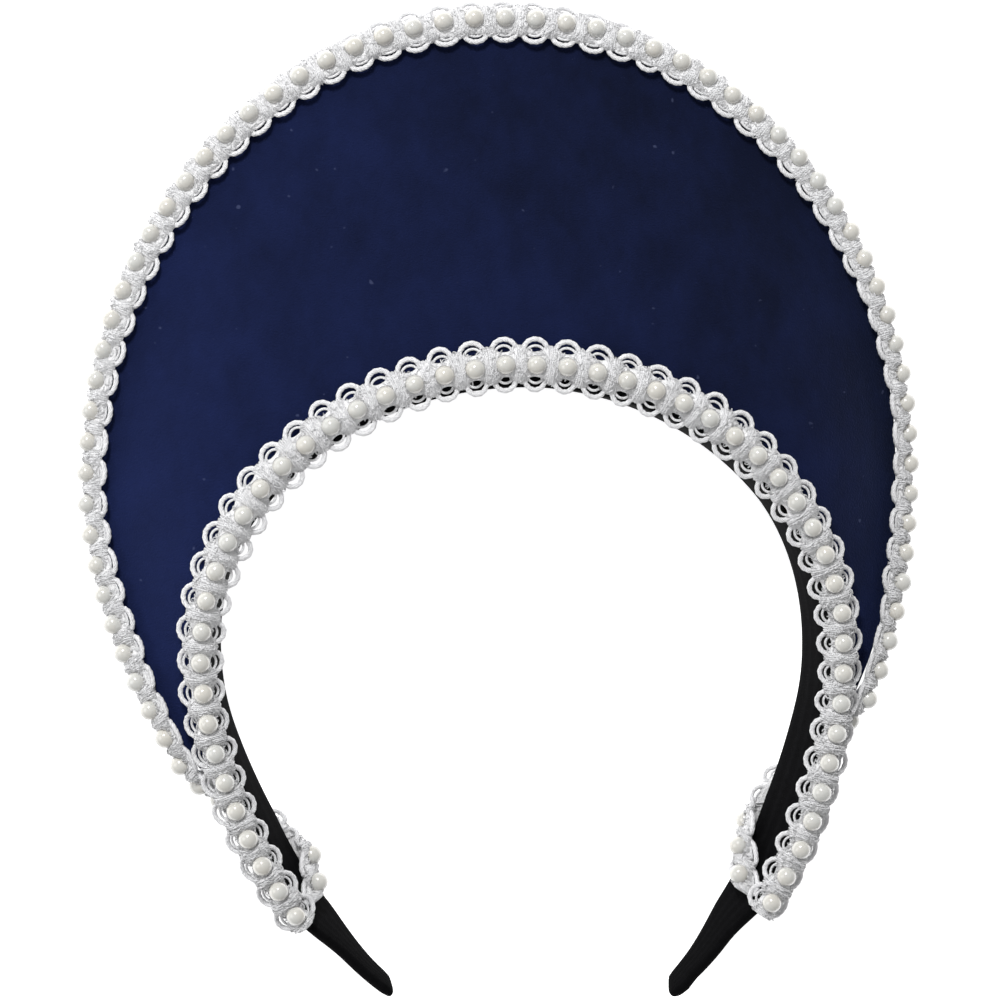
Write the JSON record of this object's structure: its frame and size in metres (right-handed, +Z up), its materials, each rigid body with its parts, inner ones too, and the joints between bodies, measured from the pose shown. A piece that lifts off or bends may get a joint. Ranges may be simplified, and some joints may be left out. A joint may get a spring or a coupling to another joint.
{
  "type": "french hood",
  "caption": "Crescent-shaped French hood of velvet over a stiff panel, carried on a fabric-covered headband and edged with pearl braid; worn over the crown of the head.",
  "frame": {"origin": "middle of the hood's outline, at the level of the surface it rests on", "axes": "+X across the head to the right as seen from the velvet face, +Y from the headband's tips to the crown, +Z up out of the velvet face"},
  "size_m": [0.1926, 0.2216, 0.0295],
  "materials": {
    "black_cloth": "matt black cloth with a faint nap",
    "navy_velvet": "short-pile navy velvet",
    "white_braid": "woven white braid with a slight silvery sheen",
    "pearl": "glossy ivory imitation pearl"
  },
  "bodies": {
    "root": {"headband": "black_cloth", "crescent_panel": "navy_velvet", "outer_braid": "white_braid", "outer_pearls": "pearl", "inner_braid": "white_braid", "inner_pearls": "pearl"}
  },
  "joints": []
}
